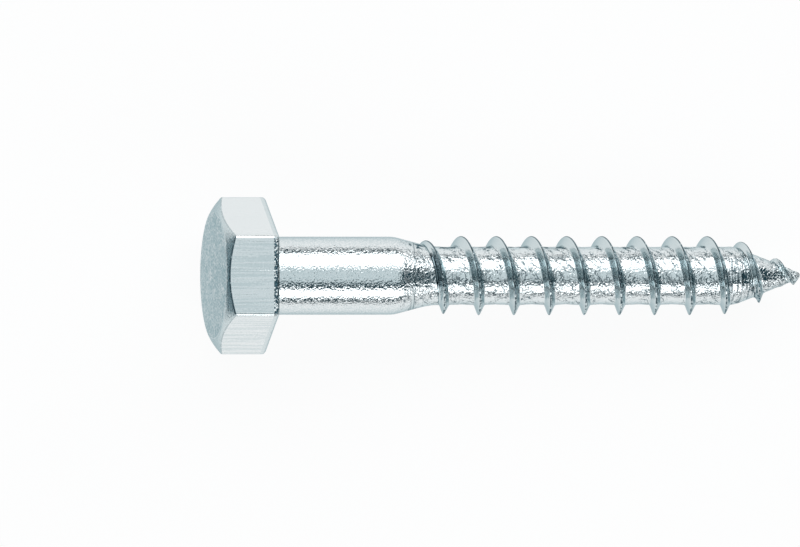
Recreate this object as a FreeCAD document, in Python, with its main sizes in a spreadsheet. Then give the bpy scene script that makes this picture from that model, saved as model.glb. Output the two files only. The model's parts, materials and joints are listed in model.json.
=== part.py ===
"""Hex head wood screw, cold forged and thread rolled from one piece of steel wire.

The screw is drawn upright about its own Z axis: the bearing face of the head is the plane Z = 0, the head
lies below it and the point is at +Z. Two flats of the hexagon face +X and -X. The finished screw is then
laid down as it comes to rest: the point towards +X, one flat below, and a crest of the thread on the ground.
"""
import FreeCAD, Part
import math
import os

import Sketcher

NODE = "wood_screw"

# Driving dimensions, in millimetres and degrees.
DIMENSIONS = [
    ("across_flats", 17.0, "width of the hexagon between two flats"),
    ("head_height", 7.0, "bearing face to the top of the crown"),
    ("crown_height", 0.4, "rise of the domed top inside its circle"),
    ("top_land", 0.4, "from a flat in to the circle of the domed top"),
    ("chamfer_angle", 30.0, "slope of the turned chamfer that cuts the corners"),
    ("corner_radius", 0.5, "rounding of the edges between the flats"),
    ("bearing_chamfer", 0.3, "broken edge round the bearing face"),
    ("neck_radius", 0.4, "fillet under the head"),
    ("shank_diameter", 9.7, "plain shank"),
    ("shank_length", 16.0, "bearing face to the start of the taper"),
    ("taper_length", 4.8, "shank down to the core"),
    ("taper_blend", 8.0, "rounding at both ends of the taper"),
    ("core_diameter", 7.3, "core between the turns of the thread"),
    ("core_length", 39.0, "end of the taper to the start of the point"),
    ("point_length", 8.5, "start of the point to the tip"),
    ("point_blend", 3.0, "rounding where the core turns into the point"),
    ("tip_diameter", 0.6, "blunt end of the point"),
    ("thread_diameter", 9.86, "over the crests"),
    ("pitch", 4.5, "one turn of the thread"),
    ("flank_angle", 44.0, "between the two flanks of the ridge"),
    ("crest_width", 0.25, "flat left on the crest"),
    ("thread_offset", 2.1, "start of the taper to the start of the ridge"),
    ("thread_turn", -90.0, "direction about the axis in which the ridge starts"),
    ("start_depth", 0.15, "how far under the taper the ridge starts"),
    ("run_in", 6.5, "length over which the ridge rises to its full height"),
    ("run_out", 11.3, "length before the tip over which the ridge sinks"),
    ("tip_ridge", 0.4, "height of the ridge left at the tip"),
    ("tip_margin", 0.5, "end of the ridge to the tip"),
]

# Points along one turn of the ridge's edges, how many more shape each end, and the share of the shaft's
# radius at which the ridge's section begins.
POINTS_PER_TURN = 10
OVERRUN = 2
BURIED_SHARE = 0.7

# A ruled face between two edges as they run, neither of them turned round.
FORWARD = 1

NEAR = 0.01

doc = FreeCAD.newDocument("HexHeadWoodScrew")

sizes = doc.addObject("Spreadsheet::Sheet", "Sizes")
for row, (alias, value, meaning) in enumerate(DIMENSIONS, start=1):
    sizes.set(f"A{row}", alias)
    sizes.set(f"B{row}", str(value))
    sizes.set(f"C{row}", meaning)
    sizes.setAlias(f"B{row}", alias)
doc.recompute()


def new_sketch(body, name, role):
    """Sketch on one of the body's own origin planes."""
    sketch = body.newObject("Sketcher::SketchObject", name)
    plane = next(feature for feature in body.Origin.OriginFeatures if feature.Role == role)
    sketch.AttachmentSupport = [(plane, "")]
    sketch.MapMode = "FlatFace"
    return sketch


def flat_point(x, y):
    return FreeCAD.Vector(x, y, 0)


def drive(sketch, name, expression, *constraint):
    """Adds a dimension to the sketch and binds it to the sheet."""
    index = sketch.addConstraint(Sketcher.Constraint(*constraint))
    sketch.renameConstraint(index, name)
    sketch.setExpression(f"Constraints.{name}", expression)


def place_point(sketch, geometry, end, name, across, along):
    """Binds one end of a line or arc to a radius and a height from the axis and the bearing plane."""
    if across:
        drive(sketch, f"{name}_across", across, "DistanceX", -1, 1, geometry, end, 1.0)
    else:
        sketch.addConstraint(Sketcher.Constraint("PointOnObject", geometry, end, -2))
    drive(sketch, f"{name}_along", along, "DistanceY", -1, 1, geometry, end, 1.0)


def edges_where(feature, test):
    """Names of the feature's edges whose middle point and rise along the axis pass the test."""
    names = []
    for index, edge in enumerate(feature.Shape.Edges, start=1):
        middle = edge.valueAt((edge.FirstParameter + edge.LastParameter) / 2)
        if test(middle, edge.BoundBox.ZLength):
            names.append(f"Edge{index}")
    return names


def circle_edges(feature, radius, height):
    """Names of the circular edges with this radius at this height."""

    def lies_there(middle, rise):
        reach = math.hypot(middle.x, middle.y)
        return abs(reach - radius) < NEAR and abs(middle.z - height) < NEAR and rise < NEAR

    return edges_where(feature, lies_there)


# Head: a hexagon bar, its long edges rounded and its bearing face broken all round.
blank = doc.addObject("PartDesign::Body", "Blank")

hexagon = new_sketch(blank, "HexagonOutline", "XY_Plane")
guide_radius = sizes.across_flats / math.sqrt(3)
guide = []
for corner in range(6):
    angle = math.radians(30 + 60 * corner)
    guide.append(flat_point(guide_radius * math.cos(angle), guide_radius * math.sin(angle)))
for side in range(6):
    hexagon.addGeometry(Part.LineSegment(guide[side], guide[(side + 1) % 6]), False)
guide_circle = Part.Circle(flat_point(0, 0), FreeCAD.Vector(0, 0, 1), guide_radius)
circle = hexagon.addGeometry(guide_circle, True)
hexagon.addConstraint(Sketcher.Constraint("Coincident", circle, 3, -1, 1))
for side in range(6):
    hexagon.addConstraint(Sketcher.Constraint("Coincident", side, 2, (side + 1) % 6, 1))
    hexagon.addConstraint(Sketcher.Constraint("PointOnObject", side, 1, circle))
for side in range(1, 6):
    hexagon.addConstraint(Sketcher.Constraint("Equal", 0, side))
hexagon.addConstraint(Sketcher.Constraint("PointOnObject", 1, 1, -2))
drive(hexagon, "corner_circle", "Sizes.across_flats / sqrt(3)", "Radius", circle, guide_radius)

head = blank.newObject("PartDesign::Pad", "HexagonHead")
head.Profile = hexagon
head.Reversed = True
head.setExpression("Length", "Sizes.head_height")
doc.recompute()

rounded = blank.newObject("PartDesign::Fillet", "RoundedCorners")
rounded.Base = (head, edges_where(head, lambda middle, rise: rise > sizes.head_height - NEAR))
rounded.setExpression("Radius", "Sizes.corner_radius")
doc.recompute()

broken = blank.newObject("PartDesign::Chamfer", "BrokenBearingEdge")
broken.Base = (rounded, edges_where(rounded, lambda middle, rise: abs(middle.z) < NEAR))
broken.setExpression("Size", "Sizes.bearing_chamfer")
doc.recompute()

# Turned away from the top of the head: the chamfer that cuts the corners, and the low crown inside it.
turned = new_sketch(blank, "TurnedTop", "XZ_Plane")
top = -sizes.head_height
rim = sizes.across_flats / 2 - sizes.top_land
clear = sizes.across_flats
waste_top = top - sizes.crown_height
rim_point = flat_point(rim, top + sizes.crown_height)
chamfer_drop = (clear - rim) * math.tan(math.radians(sizes.chamfer_angle))
chamfer_end = flat_point(clear, top + sizes.crown_height + chamfer_drop)
crown_radius = (rim**2 + sizes.crown_height**2) / (2 * sizes.crown_height)
half_turn = math.asin(rim / crown_radius)
crown_circle = Part.Circle(flat_point(0, top + crown_radius), FreeCAD.Vector(0, 0, 1), crown_radius)
crown = turned.addGeometry(
    Part.ArcOfCircle(crown_circle, -math.pi / 2, -math.pi / 2 + half_turn), False
)
outline = [rim_point, chamfer_end, flat_point(clear, waste_top), flat_point(0, waste_top), flat_point(0, top)]
chamfer_line, outer_line, far_line, axis_line = [
    turned.addGeometry(Part.LineSegment(start, end), False) for start, end in zip(outline, outline[1:])
]
turned.addConstraint(Sketcher.Constraint("Coincident", crown, 2, chamfer_line, 1))
turned.addConstraint(Sketcher.Constraint("Coincident", chamfer_line, 2, outer_line, 1))
turned.addConstraint(Sketcher.Constraint("Coincident", outer_line, 2, far_line, 1))
turned.addConstraint(Sketcher.Constraint("Coincident", far_line, 2, axis_line, 1))
turned.addConstraint(Sketcher.Constraint("Coincident", axis_line, 2, crown, 1))
turned.addConstraint(Sketcher.Constraint("PointOnObject", crown, 3, -2))
turned.addConstraint(Sketcher.Constraint("Vertical", outer_line))
turned.addConstraint(Sketcher.Constraint("Horizontal", far_line))
place_point(turned, crown, 1, "crown_top", "", "-Sizes.head_height")
place_point(
    turned, chamfer_line, 1, "rim",
    "Sizes.across_flats / 2 - Sizes.top_land",
    "Sizes.crown_height - Sizes.head_height",
)
place_point(turned, far_line, 2, "waste_top", "", "-Sizes.head_height - Sizes.crown_height")
drive(turned, "waste_width", "Sizes.across_flats", "DistanceX", -1, 1, outer_line, 1, clear)
drive(
    turned, "slope", "Sizes.chamfer_angle * 1 deg",
    "Angle", -1, 1, chamfer_line, 1, math.radians(sizes.chamfer_angle),
)

top_turning = blank.newObject("PartDesign::Groove", "TopTurning")
top_turning.Profile = turned
top_turning.ReferenceAxis = (turned, ["V_Axis"])
top_turning.Angle = 360.0
doc.recompute()
if top_turning.Shape.Volume >= broken.Shape.Volume:
    raise RuntimeError("The turning took nothing off the head")

# Shaft: half its outline, from inside the head to the tip, turned about the axis.
TAPER_START = "Sizes.shank_length"
TAPER_END = "Sizes.shank_length + Sizes.taper_length"
POINT_START = TAPER_END + " + Sizes.core_length"
TIP = POINT_START + " + Sizes.point_length"
SHAFT_OUTLINE = [
    ("root", "", "-Sizes.head_height / 2"),
    ("root_side", "Sizes.shank_diameter / 2", "-Sizes.head_height / 2"),
    ("taper_start", "Sizes.shank_diameter / 2", TAPER_START),
    ("taper_end", "Sizes.core_diameter / 2", TAPER_END),
    ("point_start", "Sizes.core_diameter / 2", POINT_START),
    ("tip_edge", "Sizes.tip_diameter / 2", TIP),
    ("tip", "", TIP),
]
taper_start = sizes.shank_length
taper_end = taper_start + sizes.taper_length
point_start = taper_end + sizes.core_length
tip = point_start + sizes.point_length
shank_radius = sizes.shank_diameter / 2
core_radius = sizes.core_diameter / 2
tip_radius = sizes.tip_diameter / 2

shaft_outline = new_sketch(blank, "ShaftOutline", "XZ_Plane")
guide = [
    flat_point(0, top / 2),
    flat_point(shank_radius, top / 2),
    flat_point(shank_radius, taper_start),
    flat_point(core_radius, taper_end),
    flat_point(core_radius, point_start),
    flat_point(tip_radius, tip),
    flat_point(0, tip),
]
for index, start in enumerate(guide):
    shaft_outline.addGeometry(Part.LineSegment(start, guide[(index + 1) % len(guide)]), False)
for index in range(len(guide)):
    following = (index + 1) % len(guide)
    shaft_outline.addConstraint(Sketcher.Constraint("Coincident", index, 2, following, 1))
for index, (name, across, along) in enumerate(SHAFT_OUTLINE):
    place_point(shaft_outline, index, 1, name, across, along)
shaft = blank.newObject("PartDesign::Revolution", "Shaft")
shaft.Profile = shaft_outline
shaft.ReferenceAxis = (shaft_outline, ["V_Axis"])
shaft.Angle = 360.0
doc.recompute()

blends = [
    ("NeckFillet", "neck_radius", [(shank_radius, 0)]),
    ("TaperBlends", "taper_blend", [(shank_radius, taper_start), (core_radius, taper_end)]),
    ("PointBlend", "point_blend", [(core_radius, point_start)]),
]
blended = shaft
for name, alias, places in blends:
    names = [edge for radius, height in places for edge in circle_edges(blended, radius, height)]
    blend = blank.newObject("PartDesign::Fillet", name)
    blend.Base = (blended, names)
    blend.setExpression("Radius", f"Sizes.{alias}")
    doc.recompute()
    blended = blend

# Thread: one ridge wound round the core. Its height follows the taper in, and it sinks towards the tip.
ridge_start = taper_start + sizes.thread_offset
ridge_end = tip - sizes.tip_margin
full_height = (sizes.thread_diameter - sizes.core_diameter) / 2
flank_slope = math.tan(math.radians(sizes.flank_angle / 2))


def between(value, start, end):
    """How far the value has gone from start to end, from 0 to 1."""
    return min(max((value - start) / (end - start), 0), 1)


def shaft_radius(height):
    if height < taper_end:
        return shank_radius + (core_radius - shank_radius) * between(height, taper_start, taper_end)
    return core_radius + (tip_radius - core_radius) * between(height, point_start, tip)


def ridge_height(height):
    """Height of the crest over the shaft: it starts just below the taper and rises as a quarter wave."""
    rise = math.sin(math.pi / 2 * between(height, ridge_start, ridge_start + sizes.run_in))
    sink = between(height, tip - sizes.run_out, tip)
    full_here = full_height + (sizes.tip_ridge - full_height) * sink
    return full_here * rise - sizes.start_depth * (1 - rise)


def crest_radius(height):
    return shaft_radius(height) + ridge_height(height)


def thread_angle(height):
    return math.radians(sizes.thread_turn) + 2 * math.pi * (height - ridge_start) / sizes.pitch


def ridge_point(height, side, on_crest):
    """Point on one of the ridge's long edges; side is -1 towards the head and 1 towards the tip."""
    crest = crest_radius(height)
    radius = crest if on_crest else BURIED_SHARE * shaft_radius(height)
    half_width = sizes.crest_width / 2 + (crest - radius) * flank_slope
    angle = thread_angle(height)
    return FreeCAD.Vector(radius * math.cos(angle), radius * math.sin(angle), height + side * half_width)


def helical_edge(start, end, side, on_crest):
    """One long edge of the ridge. Its curve is drawn past both ends, so that the turns run on smoothly."""
    rise = (end - start) / POINTS_PER_TURN
    heights = [start + step * rise for step in range(-OVERRUN, POINTS_PER_TURN + OVERRUN + 1)]
    curve = Part.BSplineCurve()
    curve.interpolate([ridge_point(height, side, on_crest) for height in heights], Parameters=heights)
    curve.segment(start, end)
    return curve.toShape()


def ridge_turn(start, end):
    """Solid ridge between two heights: two flanks, the crest, a buried side and two flat ends."""
    edges = [
        helical_edge(start, end, -1, False),
        helical_edge(start, end, -1, True),
        helical_edge(start, end, 1, True),
        helical_edge(start, end, 1, False),
    ]
    faces = [Part.makeRuledSurface(edges[side], edges[(side + 1) % 4], FORWARD) for side in range(4)]
    for last in (False, True):
        outline = [edge.valueAt(edge.LastParameter if last else edge.FirstParameter) for edge in edges]
        faces.append(Part.Face(Part.makePolygon(outline + outline[:1])))
    shell = Part.makeShell(faces)
    shell.sewShape()
    solid = Part.makeSolid(shell)
    if solid.Volume < 0:
        solid.reverse()
    return solid


turns = math.ceil((ridge_end - ridge_start) / sizes.pitch)
ridge_turns = []
for turn in range(turns):
    start = ridge_start + turn * sizes.pitch
    end = min(start + sizes.pitch, ridge_end)
    ridge = doc.addObject("Part::Feature", f"RidgeTurn{turn + 1}")
    ridge.Shape = ridge_turn(start, end)
    ridge_turns.append(ridge)

# At rest the bearing end of one flat and one crest of the thread touch the ground: the screw tips towards
# its point until the first of the crests meets the ground.
flat_end = -sizes.bearing_chamfer
crest_points = [place for ridge in ridge_turns for edge in ridge.Shape.Edges for place in edge.discretize(200)]
tilt = min(
    math.degrees(math.atan2(sizes.across_flats / 2 - place.x, place.z - flat_end))
    for place in crest_points
)
lying = FreeCAD.Placement(FreeCAD.Vector(0, 0, 0), FreeCAD.Rotation(FreeCAD.Vector(0, 1, 0), 90 + tilt))
laid_blank = blank.Shape.copy()
laid_blank.Placement = lying
box = laid_blank.optimalBoundingBox(False)
lying.Base = FreeCAD.Vector(-(box.XMin + box.XMax) / 2, 0, -box.ZMin)

screw = doc.addObject("Part::MultiFuse", "WoodScrew")
screw.Shapes = [blank] + ridge_turns
screw.Label = NODE
screw.Placement = lying
doc.recompute()

for thing in doc.Objects:
    if "Invalid" in thing.State or "Error" in thing.State:
        raise RuntimeError(f"{thing.Label} did not compute")
if screw.Shape.isNull() or not screw.Shape.isValid() or len(screw.Shape.Solids) != 1:
    raise RuntimeError(f"{screw.Label} is not one sound solid")

os.makedirs("parts", exist_ok=True)
screw.Shape.exportStep(f"parts/{screw.Label}.step")
print(f"{screw.Label}: {screw.Shape.Volume:.1f} cubic mm, tilted {tilt:.4f} degrees")
print(f"centre of the bearing face at {lying.Base.x:.4f}, {lying.Base.y:.4f}, {lying.Base.z:.4f}")
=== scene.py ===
"""Hex head wood screw in bright zinc plate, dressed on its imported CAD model.

The screw is modelled about its own axis: the bearing face of the head is the plane z = 0, the head lies
below it and the point is at +z, with x towards the ground as the screw lies and y upwards in the photograph.
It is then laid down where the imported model's shank lies. Lengths are in millimetres in the mesh functions,
in the finishes and in the constants for them.
"""
import json
import math

import bmesh
import bpy
from mathutils import Matrix, Vector, noise


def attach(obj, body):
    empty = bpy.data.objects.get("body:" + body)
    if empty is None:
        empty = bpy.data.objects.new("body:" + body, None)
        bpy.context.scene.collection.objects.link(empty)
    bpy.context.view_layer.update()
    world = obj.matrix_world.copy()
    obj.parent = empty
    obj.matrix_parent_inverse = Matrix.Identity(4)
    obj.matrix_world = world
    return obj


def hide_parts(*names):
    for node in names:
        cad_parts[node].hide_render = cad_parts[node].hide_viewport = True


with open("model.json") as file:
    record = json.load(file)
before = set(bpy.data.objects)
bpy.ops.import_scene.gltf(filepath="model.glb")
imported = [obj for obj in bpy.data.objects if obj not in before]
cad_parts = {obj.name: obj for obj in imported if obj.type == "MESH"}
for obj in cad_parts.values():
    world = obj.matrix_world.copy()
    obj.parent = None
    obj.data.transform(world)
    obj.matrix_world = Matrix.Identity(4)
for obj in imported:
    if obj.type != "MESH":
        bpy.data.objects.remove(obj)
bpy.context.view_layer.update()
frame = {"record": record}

bl_info = {
    "name": "Hex Head Wood Screw",
    "version": (1, 0, 0),
    "blender": (4, 5, 0),
    "location": "3D View > Sidebar > Wood Screw",
    "description": "Models a zinc plated hex head wood screw and the studio it is shown in",
    "category": "Add Mesh",
}

MM = 0.001
NODE = "wood_screw"

# Width of the photograph, in pixels, and of the camera's sensor, in millimetres.
FRAME_WIDTH = 800
SENSOR_WIDTH = 36.0

# Zones of the screw's surface, each with a finish of its own.
CROWN, CHAMFER, FLATS, TRIMMED, SHANK, THREAD = range(6)

# Rows of the mesh round the edges of the chamfer, round those of the bearing face and in the neck's fillet.
CHAMFER_ROWS = 4
BEARING_ROWS = 3
NECK_ROWS = 5

# Columns of the mesh in one turn of the thread, what is cut off at the tip before it is capped, and the gap
# bridged between the head and the shaft.
STEPS_PER_TURN = 160
TIP_CUT = 0.02
NECK_GAP = 0.1

# Points nearer to each other than this are merged, in the head and in the turns of the shaft, and points
# nearer than the last one to a cut count as on it.
HEAD_MERGE = 1e-5
TURN_MERGE = 0.004
CUT_SNAP = 1e-4

# How far each bend in the shaft's side is rounded, before it and after it.
SHOULDER_BLEND = 0.55
CREASE_BLEND = 0.12
TAPER_BLEND = 1.1
POINT_BLEND = 0.8

# The fillet at the ridge's foot, how much thinner the core is between two turns, and the radius of the shaft
# under which ridge and dents fade out.
ROOT_FILLET = 0.08
WAIST_DEPTH = 0.08
TIP_FADE = 0.6

# Spans of the coarse and the fine dents.
COARSE_DENT = 0.8
FINE_DENT = 0.35

# Heights of the coarse and the fine dents in the roots, of the coarse ones on the flanks, which have no fine
# ones, and of both on the point.
ROOT_DENTS = (0.022, 0.01)
FLANK_DENT = 0.008
POINT_DENTS = (0.1, 0.07)

# Heights of the ridge between which the dents of the roots give way to those of the flanks.
FLANK_RISE = (0.1, 0.4)

# How far past its start the point begins to be torn, and how far before the tip it is torn in full.
TORN_INSET = 2

# Burr torn out of the crest near the point.
BURR_PLACE = Vector((0, -2.5, 62.8))
BURR_REACH = 0.4
BURR_HEIGHT = 0.35

# Crown: distances from the axis where the dents in its middle fade out, and where its pale rim, a painted
# highlight, begins.
STAR_REACH = (0.3, 1.1)
RIM_HIGHLIGHT = (7.7, 8.0)

# Dark lines of the chamfer, which are painted dark reflections, along the flats that face up and down, and
# along
# the others: how far inside the flat each begins and is full.
FLAT_LINE = (0.14, 0.07)
SIDE_LINE = (0.1, 0.05)

# Dark line round the crown, a painted dark reflection: how far outside the crown's circle it fades out, and
# how far out in y.
RIM_LINE = (0.04, 0.12)
RIM_LINE_REACH = (2.6, 4.2)

# Where in y the flats grow smooth, and paler by a painted highlight.
SMOOTH_HIGHLIGHT_FLAT = (4.4, 5.4)

# Black grain of the trimmed edge, a painted shade: the length over which it ends before a corner, and where
# it ends in z.
SHADE_MARGIN = 0.3
SHADE_END = (-0.18, -0.06)

# The ridge, its rough crest and the crest's dark line: the middle of each, measured along the axis from the
# crest and positive towards the tip, and the distances from that middle over which it fades.
RIDGE_BAND = (0.06, 0.6, 0.75)
CREST_BAND = (0.16, 0.09, 0.15)
CREST_LINE = (-0.01, 0.05, 0.11)

# Painted dark reflection on the flank of the first turn: its band along the axis from the crest, its band in
# y, and how far from the ridge's start it fades out.
BLACK_FLANK = (-0.75, -0.65, -0.16, -0.08)
BLACK_SIDE = (-1.8, -1.2, 2.3, 3.2)
BLACK_HEIGHT = (3.7, 4.3)

# Torn crest of the last turn: how far from the point's start it begins, and where it fades out in y.
TORN_HEIGHT = (1.8, 2.4)
TORN_SIDE = (-2.2, -1.4)

# How far before the ridge's start its finish begins, and where in y the thread's upper half begins.
WOUND_FADE = 0.4
UPPER_SIDE = (-1.5, 0.5)

# Rough taper: where it begins, from the end of the smooth length, and the length over which it ends.
ROUGH_START = (-0.2, 0.2)
ROUGH_FADE = 1.5

# Painted shade along the crease in the taper: its slant across the axis, and the distances from its middle
# over which it fades.
CREASE_SLANT = 0.13
CREASE_LINE = (0.04, 0.1)

# Laps, which are slanting lines in the roots: how many there are in one turn round the core and in one pitch
# along it, how far they waver, and the distances from its middle over which each fades. The last two are
# shares of the space between two laps.
LAPS_ROUND = 14
LAPS_ALONG = 4
LAP_WAVER = 1.5
LAP_LINE = (0.05, 0.11)

# Band of the scored roots, from the point's start.
SCORED = (-2.3, -1.7, 1.4, 2.2)

# Where in y the dark strokes at the ridge's foot begin.
STROKE_SIDE = (3.33, 3.43)

# How far past its start the point begins to be black, and how far before the tip it is black in full.
BLACK_INSET = 3

# Sockets of a Mix node that mixes colours.
MIX_FACTOR, MIX_FIRST, MIX_SECOND, MIX_RESULT = 0, 6, 7, 2

# Studio, in metres: the floor and its paper, the walls and their pale foot (a share of the way up), and the
# soft boxes, which stand this far from the screw and begin at one place along it.
FLOOR_RADIUS = 40
FLOOR_SEGMENTS = 64
PAPER = (0.95, 0.95, 0.95)
WHITE = (1.0, 1.0, 1.0)
WALL_COLOUR = (0.022, 0.054, 0.069)
PALE_HORIZON = 0.08
LAMP_DISTANCE = 1.0
LAMP_START = -0.85

# Dark card, in metres: where it stands along the screw, its foot and its top, half its width, and its
# colour.
CARD_PLACE = -0.062
CARD_FOOT = 0.0005
CARD_TOP = 0.05
CARD_HALF = 0.017
CARD_COLOUR = (0.20, 0.29, 0.325)

# Soft boxes: name, both edges in degrees from overhead, where it ends along the screw, and its light in red,
# green and blue, where 1 is white.
STRIP_LAMPS = [
    ("wide_strip", 28, 70, 1.05, (2.3, 2.3, 2.3)),
    ("narrow_strip", -68, -42, 1.05, (2.3, 2.3, 2.3)),
    ("overhead_panel", -22, 25, 0.58, (0.65, 0.70, 0.71)),
]


def length(name, description, millimetres):
    return bpy.props.FloatProperty(
        name=name, description=description, default=millimetres * MM, min=0.0,
        precision=5, subtype="DISTANCE", unit="LENGTH",
    )


def angle(name, description, degrees):
    return bpy.props.FloatProperty(
        name=name, description=description, default=math.radians(degrees), subtype="ANGLE", unit="ROTATION",
    )


def colour(name, description, red, green, blue):
    return bpy.props.FloatVectorProperty(
        name=name, description=description, default=(red, green, blue), min=0.0, max=1.0, subtype="COLOR",
    )


def factor(name, description, share):
    return bpy.props.FloatProperty(
        name=name, description=description, default=share, min=0.0, max=1.0, subtype="FACTOR",
    )


class HeadSizes(bpy.types.PropertyGroup):
    """Sizes of the hexagon head."""

    across_flats: length("Across Flats", "Width of the hexagon between two flats", 17.0)
    head_height: length("Head Height", "Bearing face to the top of the crown", 7.0)
    crown_rise: length("Crown Rise", "Rise of the domed top inside its circle", 0.4)
    top_land: length("Top Land", "From a flat in to the circle of the domed top", 0.4)
    chamfer_angle: angle("Chamfer Angle", "Slope of the turned chamfer that cuts the corners", 30.0)
    corner_radius: length("Corner Radius", "Rounding of the edges between the flats", 0.5)
    edge_radius: length("Edge Radius", "Rounding of the edges of the chamfer", 0.12)
    bearing_chamfer: length("Bearing Chamfer", "Broken edge round the bearing face", 0.3)
    trim_width: length("Trim Width", "Rough band that the trimming die leaves beside the bearing face", 0.75)
    neck_radius: length("Neck Radius", "Fillet under the head", 0.4)


class ShaftSizes(bpy.types.PropertyGroup):
    """Sizes of the shank, the core and the point."""

    shank_diameter: length("Shank Diameter", "Plain shank", 9.7)
    shank_length: length("Shank Length", "Bearing face to the start of the taper", 16.2)
    smooth_length: length("Smooth Length", "Bearing face to where the taper turns rough", 16.6)
    crease_length: length("Crease Length", "Bearing face to the crease in the taper", 18.65)
    crease_diameter: length("Crease Diameter", "Taper at the crease", 8.42)
    taper_end: length("Taper End", "Bearing face to the end of the taper", 20.9)
    core_diameter: length("Core Diameter", "Core between the turns of the thread", 7.3)
    point_start: length("Point Start", "Bearing face to the start of the point", 59.8)
    tip_length: length("Tip Length", "Bearing face to the tip", 68.3)
    tip_diameter: length("Tip Diameter", "Blunt end of the point", 0.6)


class ThreadSizes(bpy.types.PropertyGroup):
    """Sizes of the ridge wound round the core."""

    thread_diameter: length("Thread Diameter", "Over the crests", 9.86)
    pitch: length("Pitch", "One turn of the thread", 4.5)
    ridge_start: length("Ridge Start", "Bearing face to the start of the ridge", 18.1)
    start_turn: angle("Start Turn", "Direction about the axis in which the ridge starts", -90.0)
    start_depth: length("Start Depth", "How far under the taper the ridge starts", 0.15)
    run_in: length("Run In", "Length over which the ridge rises to its full height", 6.5)
    run_out: length("Run Out", "Length before the tip over which the ridge sinks", 11.3)
    tip_ridge: length("Tip Ridge", "Height of the ridge left at the tip", 0.4)
    head_flank: angle("Head Flank", "Slant of the flank towards the head", 20.5)
    tip_flank: angle("Tip Flank", "Slant of the flank towards the tip", 26.5)
    crest_width: length("Crest Width", "Rounded crest of the ridge", 0.15)


class ZincFinish(bpy.types.PropertyGroup):
    """Colours and sheen of the plating."""

    plate: colour("Plate", "Chamfer, trimmed edge and the darker streaks of the flats", 0.73, 0.785, 0.795)
    roots: colour("Roots", "Plate on the taper and between the turns of the thread", 0.785, 0.83, 0.84)
    ridge: colour("Ridge", "Plate on the flanks of the thread", 0.65, 0.72, 0.735)
    flats: colour("Flats", "Drawn flats of the head, and the shank", 0.86, 0.885, 0.89)
    crown: colour("Crown", "Satin top of the head, and the dark grains of the shank", 0.40, 0.525, 0.555)
    edge: colour("Edge", "Darker tint of the metal seen at a glancing angle", 0.52, 0.62, 0.65)
    # Soot is real dirt in the pits, and also the colour of the painted shade and painted dark reflections on
    # the head and thread.
    soot_and_shade: colour("Soot And Shade", "Dirt and shade in the pits", 0.05, 0.10, 0.125)
    sheen: factor("Sheen", "Roughness of the plated shank and thread", 0.11)


class StudioSettings(bpy.types.PropertyGroup):
    """Camera, lamps and floor."""

    camera_distance: bpy.props.FloatProperty(
        name="Camera Distance", description="Camera to the point that it looks at",
        default=2.231, subtype="DISTANCE", unit="LENGTH",
    )
    focal_pixels: bpy.props.FloatProperty(
        name="Focal Length", description="Focal length in pixels of the photograph", default=17940.0,
        subtype="PIXEL",
    )
    camera_lean: angle("Camera Lean", "Lean of the view from square on to the axis, towards the head", 12.61)
    aim_along: length("Aim Along", "Point that the camera looks at, from the bearing face", 17.09)
    aim_beside: length("Aim Beside", "Point that the camera looks at, beside the axis", 0.274)
    floor_glow: factor("Floor Glow", "Share of the floor's white that keeps no shadow", 0.92)


def millimetres(group):
    """The lengths of a group in millimetres and its angles in radians, by name."""
    values = {}
    for name in group.__annotations__:
        scale = 1.0 if group.bl_rna.properties[name].subtype == "ANGLE" else 1.0 / MM
        values[name] = getattr(group, name) * scale
    return values


class Sizes:
    """Every size of the screw, read once from the scene's property groups."""

    def __init__(self, scene):
        for group in (scene.screw_head, scene.screw_shaft, scene.screw_thread):
            self.__dict__.update(millimetres(group))
        self.flat_radius = self.across_flats / 2
        self.rim_radius = self.flat_radius - self.top_land
        self.rim_height = self.crown_rise - self.head_height
        self.shank_radius = self.shank_diameter / 2
        self.core_radius = self.core_diameter / 2
        self.full_height = (self.thread_diameter - self.core_diameter) / 2


def mount(name):
    return next(mount for mount in frame["record"]["mounts"] if mount["name"] == name)


def resting_place():
    """Matrix that lays the screw, modelled in millimetres about its own axis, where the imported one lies."""
    shank = mount("shank")
    axis = Vector(shank["axis"]).normalized()
    on_axis = Vector(shank["pos_m"])
    face = Vector(mount("under_head_face")["pos_m"])
    origin = on_axis + axis * (face - on_axis).dot(axis)
    across = Vector((0, 1, 0))
    turn = Matrix((across.cross(axis), across, axis)).transposed()
    return Matrix.Translation(origin) @ turn.to_4x4()


PLACE = resting_place()


# Head


def side_stations(sizes):
    """Points of one side of the hexagon, from the middle of one rounded corner to the next; it faces +x.

    Columns stand close together round the corners, with one beside each corner that keeps the flat flat.
    """
    straight = sizes.flat_radius - sizes.corner_radius
    reach = straight * math.tan(math.pi / 6)
    corner = []
    for share in (1, 0.75, 0.5, 0.25, 0):
        turn = share * math.pi / 6
        x = straight + sizes.corner_radius * math.cos(turn)
        y = reach + sizes.corner_radius * math.sin(turn)
        corner.append(Vector((x, -y)))
    shares = (0.97, 0.85, 0.7, 0.55, 0.4, 0.27, 0.13)
    half_flat = [Vector((sizes.flat_radius, -share * reach)) for share in shares]
    half = corner + half_flat
    mirrored = [Vector((point.x, -point.y)) for point in reversed(half)]
    return half + [Vector((sizes.flat_radius, 0))] + mirrored[:-1]


def hexagon_outline(sizes):
    """Points all round the rounded hexagon, starting at a corner."""
    side = side_stations(sizes)
    outline = []
    for number in range(6):
        turn = Matrix.Rotation(number * math.pi / 3, 2)
        outline += [turn @ point for point in side]
    return outline


def rounded(before, corner, after, setback, rows):
    """Points of one corner of a section, rounded over the setback on both of its sides."""
    start = corner + (before - corner).normalized() * setback
    end = corner + (after - corner).normalized() * setback
    points = []
    for row in range(rows + 1):
        share = row / rows
        points.append(start.lerp(corner, share).lerp(corner.lerp(end, share), share))
    return points


def between_points(start, end, shares):
    return [start.lerp(end, share) for share in shares]


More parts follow.
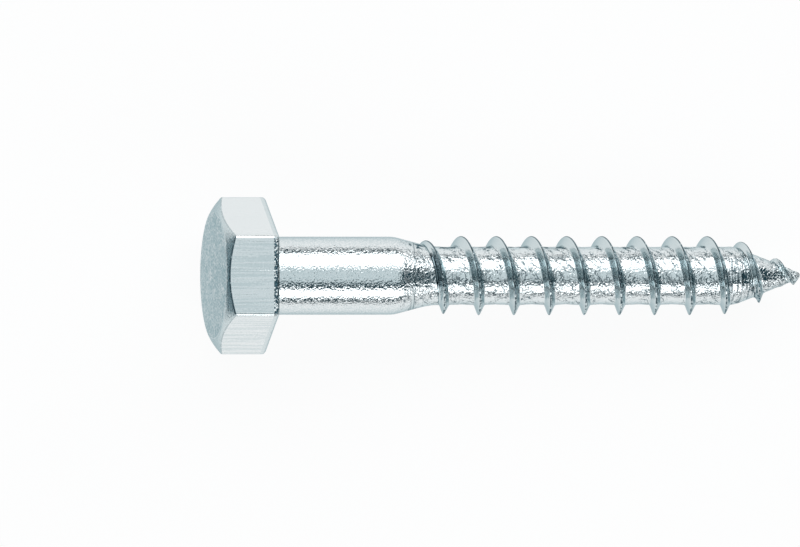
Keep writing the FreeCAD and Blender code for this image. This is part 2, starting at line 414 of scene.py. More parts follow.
def head_section(sizes, reach):
    """Section of the head from its axis to its neck, where its outline is this far from the axis.

    Every section has as many rows, each a point (radius, height) with its zone.
    """
    slope = math.tan(sizes.chamfer_angle)
    edge = Vector((reach, sizes.rim_height + (reach - sizes.rim_radius) * slope))
    rim = Vector((sizes.rim_radius, sizes.rim_height))
    trim = Vector((reach, -sizes.trim_width))
    broken = Vector((reach, -sizes.bearing_chamfer))
    face = Vector((reach * (1 - sizes.bearing_chamfer / sizes.flat_radius), 0))
    neck = Vector((sizes.shank_radius, 0))
    neck_side = Vector((sizes.shank_radius, 2 * sizes.neck_radius))
    crown = []
    for share in (0, 0.1, 0.2, 0.3, 0.4, 0.5, 0.6, 0.7, 0.8, 0.88, 0.94, 0.97):
        crown.append(Vector((rim.x * share, sizes.crown_rise * share**2 - sizes.head_height)))
    bend = sizes.edge_radius
    spans = [
        (CROWN, crown),
        (CHAMFER, rounded(crown[-1], rim, edge, bend, CHAMFER_ROWS)),
        (CHAMFER, rounded(rim, edge, trim, bend, CHAMFER_ROWS)),
        (FLATS, between_points(edge, trim, (0.1, 0.3, 0.5, 0.7, 0.9, 1))),
        (TRIMMED, between_points(trim, broken, (0.3, 0.6))),
        (TRIMMED, rounded(trim, broken, face, bend, BEARING_ROWS)),
        (TRIMMED, rounded(broken, face, neck, bend, BEARING_ROWS)),
        (TRIMMED, between_points(face, neck, (0.3, 0.6, 0.85))),
        (SHANK, rounded(face, neck, neck_side, sizes.neck_radius, NECK_ROWS)),
    ]
    return [(point, zone) for zone, points in spans for point in points]


def model_head(bm, sizes):
    """Turns the head's section round its axis, then draws the columns out to the rounded hexagon."""
    outline = hexagon_outline(sizes)
    columns = len(outline)
    sections = [head_section(sizes, point.length) for point in outline]
    row_of = bm.verts.layers.int.new("row")
    profile = []
    for row, (point, zone) in enumerate(sections[0]):
        vertex = bm.verts.new((point.x, 0, point.y))
        vertex[row_of] = row
        profile.append(vertex)
    edges = [bm.edges.new(pair) for pair in zip(profile, profile[1:])]
    bmesh.ops.spin(
        bm, geom=profile + edges, cent=(0, 0, 0), axis=(0, 0, 1), angle=2 * math.pi, steps=columns,
        use_merge=True,
    )
    for vertex in bm.verts:
        column = round(math.atan2(vertex.co.y, vertex.co.x) / (2 * math.pi) * columns) % columns
        point, zone = sections[column][vertex[row_of]]
        spot = outline[column].normalized() * point.x
        vertex.co = (spot.x, spot.y, point.y)
    for face in bm.faces:
        face.material_index = sections[0][max(vertex[row_of] for vertex in face.verts)][1]
    bmesh.ops.remove_doubles(bm, verts=bm.verts, dist=HEAD_MERGE)
    bm.verts.layers.int.remove(row_of)


# Shaft and thread


def between(value, start, end):
    """How far the value has gone from start to end, from 0 to 1."""
    return min(max((value - start) / (end - start), 0), 1)


def blended_line(place, corners):
    """Height of a line through the corners (place, height, blend), each rounded over its blend."""
    for before, corner, after in zip(corners, corners[1:], corners[2:]):
        at, height, blend = corner
        if abs(place - at) < blend:
            slope_in = (height - before[1]) / (at - before[0])
            slope_out = (after[1] - height) / (after[0] - at)
            past = place - at + blend
            start = height - slope_in * blend
            return start + slope_in * past + (slope_out - slope_in) * past**2 / (4 * blend)
    for before, after in zip(corners, corners[1:]):
        if place <= after[0]:
            break
    share = between(place, before[0], after[0])
    return before[1] + (after[1] - before[1]) * share


class Shaft:
    """Radius of the shaft and its thread at every height and direction."""

    def __init__(self, sizes):
        self.sizes = sizes
        self.corners = [
            (-sizes.head_height, sizes.shank_radius, 0),
            (sizes.shank_length, sizes.shank_radius, SHOULDER_BLEND),
            (sizes.crease_length, sizes.crease_diameter / 2, CREASE_BLEND),
            (sizes.taper_end, sizes.core_radius, TAPER_BLEND),
            (sizes.point_start, sizes.core_radius, POINT_BLEND),
            (sizes.tip_length, sizes.tip_diameter / 2, 0),
        ]

    def smooth_radius(self, height):
        left = max(self.sizes.tip_length - height, 0)
        return min(blended_line(height, self.corners), math.sqrt(left * (left + self.sizes.tip_diameter)))

    def crest_height(self, height):
        """Height of the crest over the shaft: it starts just below the taper and sinks towards the tip."""
        sizes = self.sizes
        rise = math.sin(math.pi / 2 * between(height, sizes.ridge_start, sizes.ridge_start + sizes.run_in))
        sink = between(height, sizes.tip_length - sizes.run_out, sizes.tip_length)
        full_here = sizes.full_height + (sizes.tip_ridge - sizes.full_height) * sink
        return full_here * rise - sizes.start_depth * (1 - rise)

    def from_crest(self, height, turn):
        """Distance along the axis from the nearest crest; it is positive towards the tip."""
        sizes = self.sizes
        turns = (height - sizes.ridge_start) / sizes.pitch - (turn - sizes.start_turn) / (2 * math.pi)
        return (turns - round(turns)) * sizes.pitch

    def ridge(self, height, turn):
        """Height of the ridge over the shaft, with its rounded crest and the fillets at its foot."""
        sizes = self.sizes
        along = self.from_crest(height, turn)
        slant = math.tan(sizes.head_flank if along < 0 else sizes.tip_flank)
        drop = (math.hypot(along, sizes.crest_width) - sizes.crest_width) / slant
        rise = self.crest_height(height) - drop
        filleted = (rise + math.hypot(rise, ROOT_FILLET)) / 2
        return filleted * between(height, sizes.ridge_start - 1, sizes.ridge_start)

    def waist(self, height, turn):
        """How much thinner the core is between two turns of the ridge."""
        half = self.sizes.pitch / 2
        rolled = between(height, self.sizes.taper_end, self.sizes.taper_end + half)
        left = between(height, self.sizes.point_start, self.sizes.point_start - half)
        spread = math.cos(math.pi / 2 * self.from_crest(height, turn) / half)
        return WAIST_DEPTH * rolled * left * (1 - spread)

    def dents(self, place, ridge):
        """Unevenness left by the thread rolling: the roots are rough, the flanks smooth, the point torn."""
        rolled = between(place.z, self.sizes.crease_length, self.sizes.taper_end)
        torn = between(place.z, self.sizes.point_start + TORN_INSET, self.sizes.tip_length - TORN_INSET)
        on_flank = between(ridge, *FLANK_RISE)
        coarse = noise.noise(place / COARSE_DENT)
        fine = noise.noise(place / FINE_DENT)
        root = ROOT_DENTS[0] * coarse + ROOT_DENTS[1] * fine
        flank = FLANK_DENT * coarse
        point = POINT_DENTS[0] * coarse + POINT_DENTS[1] * fine
        burr = BURR_HEIGHT * math.exp(-((place - BURR_PLACE).length / BURR_REACH)**2)
        return rolled * (root + (flank - root) * on_flank + point * torn) + burr

    def radius(self, place):
        turn = math.atan2(place.y, place.x)
        smooth = self.smooth_radius(place.z) - self.waist(place.z, turn)
        ridge = self.ridge(place.z, turn)
        centre = Vector((smooth * math.cos(turn), smooth * math.sin(turn), place.z))
        fade = between(smooth, 0, TIP_FADE)
        return smooth + (ridge + self.dents(centre, ridge)) * fade


def ridge_stations(sizes):
    """Rows of one pitch of the section, close together on the ridge and wider apart on the root."""
    ridge = [0.04, 0.09, 0.15, 0.24, 0.35, 0.47, 0.57, 0.66, 0.76, 0.9]
    half = sizes.pitch / 2
    root = [ridge[-1] + (half - ridge[-1]) * share for share in (0.2, 0.4, 0.6, 0.8, 1)]
    side = ridge + root
    return [-row for row in reversed(side)] + [0] + side


def model_shaft(bm, sizes):
    """Winds one pitch of the shaft's section up the axis, so that its rows follow the thread, cuts it off
    at the neck and at the tip, and gives every point its radius.
    """
    shaft = Shaft(sizes)
    cut = sizes.neck_radius + NECK_GAP
    turns_below = math.ceil((sizes.ridge_start + sizes.pitch / 2 - cut) / sizes.pitch)
    start = sizes.ridge_start - turns_below * sizes.pitch
    turns = math.ceil((sizes.tip_length - start) / sizes.pitch + 0.5)
    first = Vector((sizes.shank_radius, 0, start))
    first.rotate(Matrix.Rotation(sizes.start_turn, 3, "Z"))
    profile = [bm.verts.new(first + Vector((0, 0, row))) for row in ridge_stations(sizes)]
    edges = [bm.edges.new(pair) for pair in zip(profile, profile[1:])]
    bmesh.ops.spin(
        bm, geom=profile + edges, cent=(0, 0, 0), axis=(0, 0, 1), angle=2 * math.pi,
        dvec=(0, 0, sizes.pitch / STEPS_PER_TURN), steps=STEPS_PER_TURN,
    )
    first_turn = bm.verts[:] + bm.edges[:] + bm.faces[:]
    for turn in range(1, turns):
        copied = bmesh.ops.duplicate(bm, geom=first_turn)
        raised = [part for part in copied["geom"] if isinstance(part, bmesh.types.BMVert)]
        bmesh.ops.translate(bm, verts=raised, vec=(0, 0, turn * sizes.pitch))
    bmesh.ops.remove_doubles(bm, verts=bm.verts, dist=TURN_MERGE)
    for height, direction in ((cut, -1), (sizes.tip_length - TIP_CUT, 1)):
        cut_through = bmesh.ops.bisect_plane(
            bm, geom=bm.verts[:] + bm.edges[:] + bm.faces[:], dist=CUT_SNAP,
            plane_co=(0, 0, height), plane_no=(0, 0, direction), clear_outer=True,
        )
    tip_loop = [part for part in cut_through["geom_cut"] if isinstance(part, bmesh.types.BMEdge)]
    for vertex in bm.verts:
        reach = math.hypot(vertex.co.x, vertex.co.y)
        radius = shaft.radius(vertex.co)
        vertex.co.x *= radius / reach
        vertex.co.y *= radius / reach
    for face in bm.faces:
        thread = face.calc_center_median().z > sizes.smooth_length
        face.material_index = THREAD if thread else SHANK
    cap = bmesh.ops.edgeloop_fill(bm, edges=tip_loop, mat_nr=THREAD)
    poked = bmesh.ops.poke(bm, faces=cap["faces"])
    for vertex in poked["verts"]:
        vertex.co.z = sizes.tip_length


# Finishes


class Number:
    """A number in a shader. Arithmetic on it in Python adds its Math nodes."""

    def __init__(self, shader, socket):
        self.shader = shader
        self.socket = socket

    def maths(self, operation, first, second=0.0):
        node = self.shader.node("ShaderNodeMath", {"operation": operation}, {0: first, 1: second})
        return Number(self.shader, node.outputs[0])

    def __add__(self, other):
        return self.maths("ADD", self, other)

    def __radd__(self, other):
        return self.maths("ADD", other, self)

    def __sub__(self, other):
        return self.maths("SUBTRACT", self, other)

    def __rsub__(self, other):
        return self.maths("SUBTRACT", other, self)

    def __mul__(self, other):
        return self.maths("MULTIPLY", self, other)

    def __rmul__(self, other):
        return self.maths("MULTIPLY", other, self)

    def __truediv__(self, other):
        return self.maths("DIVIDE", self, other)

    def __abs__(self):
        return self.maths("ABSOLUTE", self)

    def fraction(self):
        return self.maths("FRACT", self)

    def larger(self, other):
        return self.maths("MAXIMUM", self, other)


class Shader:
    """Node tree of a material or of the world, and the few node set-ups that the finishes share."""

    def __init__(self, tree):
        self.tree = tree
        tree.nodes.clear()

    def node(self, kind, settings=None, sockets=None):
        """Adds a node: its settings first, then the values or links of its sockets."""
        node = self.tree.nodes.new(kind)
        for name, value in (settings or {}).items():
            setattr(node, name, value)
        for key, value in (sockets or {}).items():
            if isinstance(value, Number):
                value = value.socket
            if isinstance(value, bpy.types.NodeSocket):
                self.tree.links.new(value, node.inputs[key])
            else:
                node.inputs[key].default_value = value
        return node

    def number(self, socket):
        return Number(self, socket)

    def stretched(self, vector, x, y, z):
        node = self.node("ShaderNodeVectorMath", {"operation": "MULTIPLY"}, {0: vector, 1: (x, y, z)})
        return node.outputs[0]

    def noise(self, vector, scale, detail=2.0, roughness=0.5, distortion=0.0):
        """Noise from about 0 to 1 around 0.5; scale counts its features to a millimetre."""
        sockets = {
            "Vector": vector, "Scale": scale, "Detail": detail, "Roughness": roughness,
            "Distortion": distortion,
        }
        return self.number(self.node("ShaderNodeTexNoise", {}, sockets).outputs["Fac"])

    def step(self, value, low, high):
        """0 below low, 1 above high and smooth between."""
        sockets = {"Value": value, "From Min": low, "From Max": high}
        settings = {"interpolation_type": "SMOOTHSTEP"}
        return self.number(self.node("ShaderNodeMapRange", settings, sockets).outputs["Result"])

    def near(self, value, middle, full, end):
        """1 up to the distance full from the middle, 0 from the distance end on and smooth between."""
        return 1 - self.step(abs(value - middle), full, end)

    def band(self, value, start, full, fading, end):
        """1 from full to fading, 0 below start and above end and smooth between."""
        return self.step(value, start, full) - self.step(value, fading, end)

    def mix(self, share, first, second):
        """Colour between two colours."""
        sockets = {MIX_FACTOR: share, MIX_FIRST: first, MIX_SECOND: second}
        node = self.node("ShaderNodeMix", {"data_type": "RGBA"}, sockets)
        return node.outputs[MIX_RESULT]


class PlateShader(Shader):
    """Material of one zone of the plated screw, with its places measured from the screw's own axis."""

    def __init__(self, name):
        self.material = bpy.data.materials.new(name)
        self.material.use_nodes = True
        super().__init__(self.material.node_tree)
        back = PLACE.inverted()
        coordinates = self.node("ShaderNodeTexCoord").outputs["Object"]
        settings = {"vector_type": "POINT"}
        sockets = {
            "Vector": coordinates, "Scale": (1 / MM,) * 3,
            "Rotation": back.to_euler(), "Location": back.to_translation() / MM,
        }
        self.place = self.node("ShaderNodeMapping", settings, sockets).outputs[0]
        parts = self.node("ShaderNodeSeparateXYZ", {}, {0: self.place})
        self.x, self.y, self.z = (self.number(parts.outputs[index]) for index in range(3))

    def reach(self):
        """Distance from the axis."""
        flat = self.stretched(self.place, 1, 1, 0)
        distance = self.node("ShaderNodeVectorMath", {"operation": "LENGTH"}, {0: flat})
        return self.number(distance.outputs["Value"])

    def turn(self):
        """Direction about the axis."""
        return self.y.maths("ARCTAN2", self.y, self.x)

    def finish(self, zinc, base, roughness, relief):
        """Ends the material: metal of this colour and roughness with a relief in micrometres."""
        bump = self.node("ShaderNodeBump", {}, {"Height": relief, "Distance": MM / 1000})
        sockets = {
            "Base Color": base, "Metallic": 1.0, "Roughness": roughness, "Normal": bump.outputs[0],
            "Specular Tint": opaque(zinc.edge),
        }
        metal = self.node("ShaderNodeBsdfPrincipled", {}, sockets)
        self.node("ShaderNodeOutputMaterial", {}, {"Surface": metal.outputs[0]})
        return self.material


def opaque(colour):
    return (*colour, 1.0)


def crown_finish(zinc):
    """Forged top of the head: satin and mottled, with fine scratches, a star of dents and a pale rim that is
    a painted highlight.
    """
    shader = PlateShader("crown_finish")
    reach = shader.reach()
    mottle = shader.noise(shader.place, 0.7, 4.0, 0.6)
    grain = shader.noise(shader.place, 3.8, 2.0)
    scratches = shader.noise(shader.stretched(shader.place, 5.0, 1.2, 1.0), 1.0, 1.0)
    middle = shader.near(reach, 0, *STAR_REACH)
    # The pale rim is a painted highlight round the edge of the crown.
    rim = shader.step(reach, *RIM_HIGHLIGHT)
    tone = mottle * 0.5 + grain * 1.3 - 0.33 + rim * 0.3 + middle * grain * 0.4
    base = shader.mix(shader.step(tone, 0.35, 0.9), opaque(zinc.crown), opaque(zinc.flats))
    relief = grain * 40 + scratches * 60 + mottle * 60 + middle * grain * 200
    return shader.finish(zinc, base, mottle * 0.2 + 0.3, relief)


def chamfer_finish(zinc, sizes):
    """Turned chamfer: fine circular tool marks, and painted dark reflections as lines round the crown and
    along the flats.
    """
    shader = PlateShader("chamfer_finish")
    marks = shader.noise(shader.stretched(shader.place, 0.8, 0.8, 6.0), 1.0, 1.0)
    specks = shader.noise(shader.place, 3.0, 1.0)
    lean = shader.x * math.cos(math.pi / 3)
    side = shader.y * math.sin(math.pi / 3)
    others = abs(lean + side).larger(abs(lean - side))
    by_flat = shader.step(abs(shader.x), *(sizes.flat_radius - inset for inset in FLAT_LINE))
    by_others = shader.step(others, *(sizes.flat_radius - inset for inset in SIDE_LINE))
    by_rim = 1 - shader.step(shader.reach(), *(sizes.rim_radius + beyond for beyond in RIM_LINE))
    by_rim = by_rim * shader.near(shader.y, 0, *RIM_LINE_REACH)
    # These dark lines are painted dark reflections, strongest along the flats that face up and down.
    lines = (by_flat + by_others * 0.3).larger(by_rim * 0.7) * shader.step(specks, 0.34, 0.44)
    base = shader.mix(0.25, opaque(zinc.plate), opaque(zinc.crown))
    base = shader.mix(lines * 0.9, base, opaque(zinc.soot_and_shade))
    return shader.finish(zinc, base, marks * 0.1 + 0.22, marks * 30 + specks * 18)


def flats_finish(zinc):
    """Flats of the hexagon: drawn along the axis, so streaked lengthwise, and smoother on one side, paler
    there by a painted highlight.
    """
    shader = PlateShader("flats_finish")
    streaks = shader.noise(shader.stretched(shader.place, 5.0, 5.0, 0.09), 1.0, 2.0, 0.6)
    grain = shader.noise(shader.place, 4.0, 1.0)
    # On the upper side the flats are smoother, and paler by a painted highlight.
    smooth = shader.step(shader.y, *SMOOTH_HIGHLIGHT_FLAT)
    depth = 1 - smooth * 0.85
    tone = 0.5 + smooth * 0.12 + ((streaks - 0.5) * 3.2 + (grain - 0.5) * 1.1) * depth
    base = shader.mix(shader.step(tone, 0.32, 0.62), opaque(zinc.plate), opaque(zinc.flats))
    return shader.finish(zinc, base, 0.18 + streaks * 0.14, (streaks * 34 + grain * 18) * depth)


def trimmed_finish(zinc, sizes):
    """Edge round the bearing face, which the trimming die tore; black along two of the flats, a painted
    shade.
    """
    shader = PlateShader("trimmed_finish")
    torn = shader.noise(shader.stretched(shader.place, 1.0, 1.0, 0.7), 4.2, 2.0, 0.6)
    half_flat = sizes.flat_radius * math.tan(math.pi / 6)
    on_flat = shader.near(shader.y, 0, half_flat - SHADE_MARGIN, half_flat)
    on_flat = on_flat * (1 - shader.step(shader.z, *SHADE_END))
    # The black on the flats that face up and down is painted shade.
    black = on_flat * (1 - shader.step(torn, 0.5, 0.57))
    base = shader.mix(black, opaque(zinc.plate), opaque(zinc.soot_and_shade))
    return shader.finish(zinc, base, 0.16, torn * (on_flat * 170 + 60))


def shank_finish(zinc):
    """Plated shank: bright, with a fine grain that breaks up the edges of what it mirrors."""
    shader = PlateShader("shank_finish")
    grain = shader.noise(shader.place, 4.2, 1.0)
    sand = shader.noise(shader.place, 7.0, 0.0)
    patches = shader.noise(shader.place, 0.9, 2.0)
    base = shader.mix(shader.step(sand, 0.25, 0.75) * 0.45, opaque(zinc.flats), opaque(zinc.crown))
    return shader.finish(zinc, base, zinc.sheen + patches * 0.06 - 0.04, grain * 49)


class ThreadShader(PlateShader):
    """Material of the thread, with the patterns and masks that its marks share. A mask is 1 on its mark."""

    def __init__(self, sizes):
        super().__init__("thread_finish")
        self.sizes = sizes
        self.around = self.turn()
        turns = (self.z - sizes.ridge_start) / sizes.pitch
        turns = turns - (self.around - sizes.start_turn) / (2 * math.pi) + 0.5
        self.along = (turns.fraction() - 0.5) * sizes.pitch
        self.wound = self.step(self.z, sizes.ridge_start - WOUND_FADE, sizes.ridge_start)
        self.on_ridge = self.wound * self.near(self.along, *RIDGE_BAND)
        self.on_crest = self.wound * self.near(self.along, *CREST_BAND)
        self.root = 1 - self.on_ridge
        self.upper = self.step(self.y, *UPPER_SIDE)
        self.grain = self.noise(self.place, 3.4, 1.0)
        self.flakes = self.noise(self.stretched(self.place, 1.0, 1.0, 1.5), 1.2, 3.0, 0.6, 0.8)
        self.patches = self.noise(self.place, 0.8, 1.0)

    def cracks(self):
        """Cracks in the roots, in patches."""
        lines = self.near(self.flakes, 0.5, 0.0, 0.016)
        return lines * self.step(self.patches, 0.42, 0.5) * self.root

    def laps(self):
        """Slanting lines in the roots, where the rolling lapped the metal over."""
        laps = self.along * (LAPS_ALONG / self.sizes.pitch) - self.around * (LAPS_ROUND / (2 * math.pi))
        laps = laps + self.flakes * LAP_WAVER
        lines = self.near(laps.fraction(), 0.5, *LAP_LINE)
        return lines * self.step(self.patches + self.upper * 0.04, 0.54, 0.6) * self.root

    def crease(self):
        """Thin line round the taper at its crease, a painted shade that the relief also grooves."""
        return self.near(self.z - self.x * CREASE_SLANT, self.sizes.crease_length, *CREASE_LINE)

    def taper(self):
        """Rough taper between the shank and the core."""
        start = (self.sizes.smooth_length + height for height in ROUGH_START)
        end = self.sizes.taper_end
        return self.band(self.z, *start, end, end + ROUGH_FADE)

    def scored(self):
        """Roots on either side of the point's start, which the rolling scored round."""
        return self.band(self.z, *(self.sizes.point_start + height for height in SCORED)) * self.root

    def point(self):
        """Rough point."""
        return self.step(self.z, self.sizes.point_start + BLACK_INSET, self.sizes.tip_length - BLACK_INSET)

    def painted_dark_flank(self):
        """Painted dark reflection on the flank of the first turn."""
        first = 1 - self.step(self.z, *(self.sizes.ridge_start + height for height in BLACK_HEIGHT))
        return first * self.band(self.y, *BLACK_SIDE) * self.wound * self.band(self.along, *BLACK_FLANK)

    def upper_edge_strokes(self):
        """Dark strokes in patches at the ridge's foot, on the upper edge of the core."""
        return self.root * self.wound * self.step(self.y, *STROKE_SIDE) * self.step(self.patches, 0.53, 0.57)

    def torn_crest(self):
        """Dirt in the torn crest of the last turn."""
        torn = self.on_ridge * self.step(self.z, *(self.sizes.point_start + height for height in TORN_HEIGHT))
        return torn * (1 - self.step(self.y, *TORN_SIDE)) * self.step(self.grain, 0.46, 0.54)

    def flaky_crest(self):
        """Flakes on the crest and along its dark line."""
        crest_line = self.wound * self.near(self.along, *CREST_LINE)
        on_line = crest_line * self.step(self.grain + self.upper * 0.12, 0.42, 0.5)
        return self.on_crest * self.step(self.grain, 0.54, 0.6) + on_line


def thread_finish(zinc, sizes):
    """Rolled thread: flaky, cracked roots, smooth flanks, a torn crest and a black, rough point."""
    shader = ThreadShader(sizes)
    grain = shader.grain
    root = shader.root
    cracks = shader.cracks()
    laps = shader.laps()
    crease = shader.crease()
    scored = shader.scored()
    scores = shader.noise(shader.stretched(shader.place, 0.4, 0.4, 4.0), 1.0, 1.0)
    point = shader.point()
    lines = cracks.larger(laps) + scored * shader.step(scores, 0.54, 0.6) * 0.7
    # The dark colour here is real dirt in the cracks, laps, scores, point and crest, with painted shade in
    # the crease and a painted dark reflection on the first flank.
    dirt_and_shade = lines * 0.85 + point * root * shader.step(grain, 0.52, 0.6) * 0.7 + crease * 0.5
    dirt_and_shade = dirt_and_shade + shader.flaky_crest() * 0.9 + shader.torn_crest() * 0.8
    dirt_and_shade = dirt_and_shade + shader.painted_dark_flank() * 0.8 + shader.upper_edge_strokes() * 0.95
    base = shader.mix(shader.on_ridge, opaque(zinc.roots), opaque(zinc.ridge))
    base = shader.mix(dirt_and_shade, base, opaque(zinc.soot_and_shade))
    relief = grain * (root * 62 + shader.taper() * 12 + point * 110 + 6) + shader.flakes * root * 62
    relief = relief - cracks * 30 - laps * 25 - crease * 35
    relief = relief + scored * scores * 130 + shader.on_crest * grain * 150
    return shader.finish(zinc, base, zinc.sheen + shader.on_ridge * 0.06, relief)


# Studio


def world_light():
    """Dim studio walls, pale along the ground so that no dark line shows behind the floor."""
    world = bpy.data.worlds.new("studio_walls")
    world.use_nodes = True
    bpy.context.scene.world = world
    shader = Shader(world.node_tree)
    direction = shader.node("ShaderNodeTexCoord").outputs["Generated"]
    height = shader.number(shader.node("ShaderNodeSeparateXYZ", {}, {0: direction}).outputs[2])
    glow = 1 - shader.step(height, PALE_HORIZON / 3, PALE_HORIZON)
    colour = shader.mix(glow, opaque(WALL_COLOUR), opaque(WHITE))
    background = shader.node("ShaderNodeBackground", {}, {"Color": colour})
    shader.node("ShaderNodeOutputWorld", {}, {"Surface": background.outputs[0]})


def floor_finish(glow):
    """White floor for the camera and for mirror images, which still keeps a soft shadow."""
    material = bpy.data.materials.new("floor_finish")
    material.use_nodes = True
    shader = Shader(material.node_tree)
    path = shader.node("ShaderNodeLightPath").outputs
    seen = shader.number(path["Is Camera Ray"]) + shader.number(path["Is Glossy Ray"])
    seen = seen + shader.number(path["Is Transmission Ray"])
    paper = shader.node("ShaderNodeBsdfDiffuse", {}, {"Color": opaque(PAPER)})
    white = shader.node("ShaderNodeEmission", {}, {"Color": opaque(WHITE), "Strength": 1.0})
    sockets = {0: seen * glow, 1: paper.outputs[0], 2: white.outputs[0]}
    mixed = shader.node("ShaderNodeMixShader", {}, sockets)
    shader.node("ShaderNodeOutputMaterial", {}, {"Surface": mixed.outputs[0]})
    return material


def add_floor(glow):
    bm = bmesh.new()
    bmesh.ops.create_circle(bm, cap_ends=True, segments=FLOOR_SEGMENTS, radius=FLOOR_RADIUS)
    mesh = bpy.data.meshes.new("floor")
    bm.to_mesh(mesh)
    bm.free()
    mesh.materials.append(floor_finish(glow))
    floor = bpy.data.objects.new("floor", mesh)
    bpy.context.scene.collection.objects.link(floor)


def add_dark_card():
    """Dark card that stands before the head. Only mirror images show it: it darkens the chamfer."""
    bm = bmesh.new()
    place = Matrix.Translation((CARD_PLACE, 0, (CARD_FOOT + CARD_TOP) / 2))
    size = Matrix.Diagonal((1, CARD_HALF, (CARD_TOP - CARD_FOOT) / 2, 1))
    upright = Matrix.Rotation(math.pi / 2, 4, "Y")
    bmesh.ops.create_grid(bm, x_segments=1, y_segments=1, size=1, matrix=place @ size @ upright)
    mesh = bpy.data.meshes.new("dark_card")
    bm.to_mesh(mesh)
    bm.free()
    material = bpy.data.materials.new("dark_card")
    material.use_nodes = True
    shader = Shader(material.node_tree)
    matt = shader.node("ShaderNodeBsdfDiffuse", {}, {"Color": opaque(CARD_COLOUR)})
    shader.node("ShaderNodeOutputMaterial", {}, {"Surface": matt.outputs[0]})
    mesh.materials.append(material)
    card = bpy.data.objects.new("dark_card", mesh)
    card.visible_camera = False
    card.visible_diffuse = False
    card.visible_shadow = False
    bpy.context.scene.collection.objects.link(card)


def add_strip_lamp(name, low, high, end, radiance):
    """Soft box along the screw, seen from it between two angles from overhead; positive ones lie to +Y."""
    middle = math.radians((low + high) / 2)
    lamp = bpy.data.lights.new(name, "AREA")
    lamp.shape = "RECTANGLE"
    lamp.size = end - LAMP_START
    lamp.size_y = 2 * LAMP_DISTANCE * math.tan(math.radians((high - low) / 2))
    lamp.energy = math.pi * lamp.size * lamp.size_y
    lamp.color = radiance
    holder = bpy.data.objects.new(name, lamp)
    holder.location = (
        (LAMP_START + end) / 2, LAMP_DISTANCE * math.sin(middle), LAMP_DISTANCE * math.cos(middle),
    )
    holder.rotation_euler = (-middle, 0, 0)
    holder.visible_camera = False
    bpy.context.scene.collection.objects.link(holder)


def add_camera(studio):
    """Camera above the screw, leaning from square on to its axis towards the head."""
    lean = studio.camera_lean
    aim = Vector((0, studio.aim_beside, studio.aim_along)) / MM
    back = Vector((-math.cos(lean), 0, -math.sin(lean)))
    up = Vector((0, 1, 0))
    right = up.cross(back)
    turn = (PLACE.to_3x3() @ Matrix((right, up, back)).transposed()).to_4x4()
    data = bpy.data.cameras.new("camera")
    data.sensor_width = SENSOR_WIDTH
    data.lens = studio.focal_pixels * SENSOR_WIDTH / FRAME_WIDTH
    data.clip_end = 100
    camera = bpy.data.objects.new("camera", data)
    camera.matrix_world = Matrix.Translation(PLACE @ (aim * MM + back * studio.camera_distance)) @ turn
    bpy.context.scene.collection.objects.link(camera)
    bpy.context.scene.camera = camera


# Operators, panel and registration


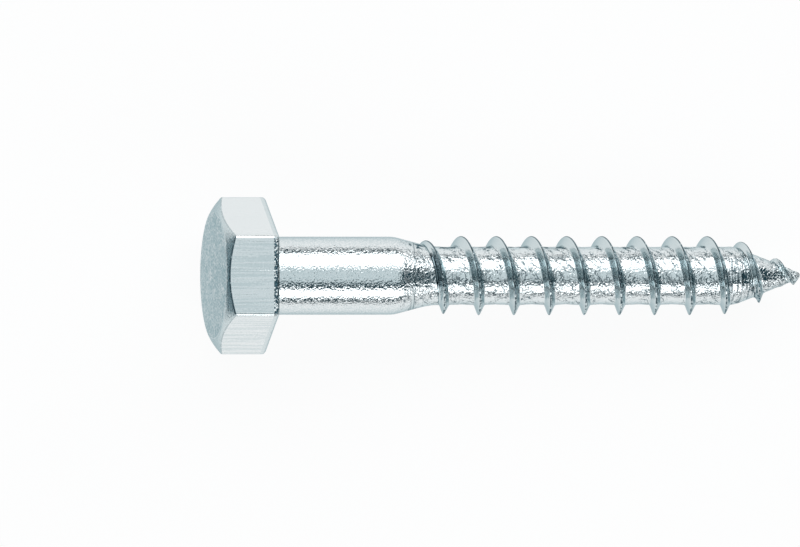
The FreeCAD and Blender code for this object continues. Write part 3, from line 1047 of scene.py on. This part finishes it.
class WOOD_SCREW_OT_model_screw(bpy.types.Operator):
    """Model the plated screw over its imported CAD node"""

    bl_idname = "wood_screw.model_screw"
    bl_label = "Model Screw"

    def execute(self, context):
        sizes = Sizes(context.scene)
        zinc = context.scene.screw_zinc
        bm = bmesh.new()
        for model in (model_head, model_shaft):
            half = bmesh.new()
            model(half, sizes)
            mesh = bpy.data.meshes.new(model.__name__)
            half.to_mesh(mesh)
            half.free()
            bm.from_mesh(mesh)
            bpy.data.meshes.remove(mesh)
        ends = [edge for edge in bm.edges if edge.is_boundary]
        joint = bmesh.ops.bridge_loops(bm, edges=ends)
        for face in joint["faces"]:
            face.material_index = SHANK
        bmesh.ops.recalc_face_normals(bm, faces=bm.faces)
        for face in bm.faces:
            face.smooth = True
        bmesh.ops.scale(bm, vec=(MM, MM, MM), verts=bm.verts)
        bmesh.ops.transform(bm, matrix=PLACE, verts=bm.verts)
        mesh = bpy.data.meshes.new("plated_screw")
        bm.to_mesh(mesh)
        bm.free()
        screw = bpy.data.objects.new("plated_screw", mesh)
        context.scene.collection.objects.link(screw)
        finishes = {
            CROWN: crown_finish(zinc),
            CHAMFER: chamfer_finish(zinc, sizes),
            FLATS: flats_finish(zinc),
            TRIMMED: trimmed_finish(zinc, sizes),
            SHANK: shank_finish(zinc),
            THREAD: thread_finish(zinc, sizes),
        }
        for zone in range(len(finishes)):
            mesh.materials.append(finishes[zone])
        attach(screw, "root")
        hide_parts(NODE)
        return {"FINISHED"}


class WOOD_SCREW_OT_build_studio(bpy.types.Operator):
    """Lay the floor, hang the lamps and set the camera"""

    bl_idname = "wood_screw.build_studio"
    bl_label = "Build Studio"

    def execute(self, context):
        studio = context.scene.screw_studio
        context.scene.view_settings.view_transform = "Standard"
        world_light()
        add_floor(studio.floor_glow)
        add_dark_card()
        for strip in STRIP_LAMPS:
            add_strip_lamp(*strip)
        add_camera(studio)
        return {"FINISHED"}


class VIEW3D_PT_wood_screw(bpy.types.Panel):
    """Sizes, colours and studio of the wood screw"""

    bl_label = "Wood Screw"
    bl_space_type = "VIEW_3D"
    bl_region_type = "UI"
    bl_category = "Wood Screw"

    def draw(self, context):
        for pointer in POINTERS:
            group = getattr(context.scene, pointer)
            box = self.layout.box()
            box.label(text=group.bl_rna.name)
            for name in group.__annotations__:
                box.prop(group, name)
        self.layout.operator("wood_screw.model_screw")
        self.layout.operator("wood_screw.build_studio")


POINTERS = {
    "screw_head": HeadSizes,
    "screw_shaft": ShaftSizes,
    "screw_thread": ThreadSizes,
    "screw_zinc": ZincFinish,
    "screw_studio": StudioSettings,
}
CLASSES = (*POINTERS.values(), WOOD_SCREW_OT_model_screw, WOOD_SCREW_OT_build_studio, VIEW3D_PT_wood_screw)


def register():
    for each in CLASSES:
        bpy.utils.register_class(each)
    for pointer, group in POINTERS.items():
        setattr(bpy.types.Scene, pointer, bpy.props.PointerProperty(type=group))


def unregister():
    for pointer in POINTERS:
        delattr(bpy.types.Scene, pointer)
    for each in reversed(CLASSES):
        bpy.utils.unregister_class(each)


def main():
    register()
    bpy.ops.wood_screw.model_screw()
    bpy.ops.wood_screw.build_studio()


if __name__ == "__main__":
    main()
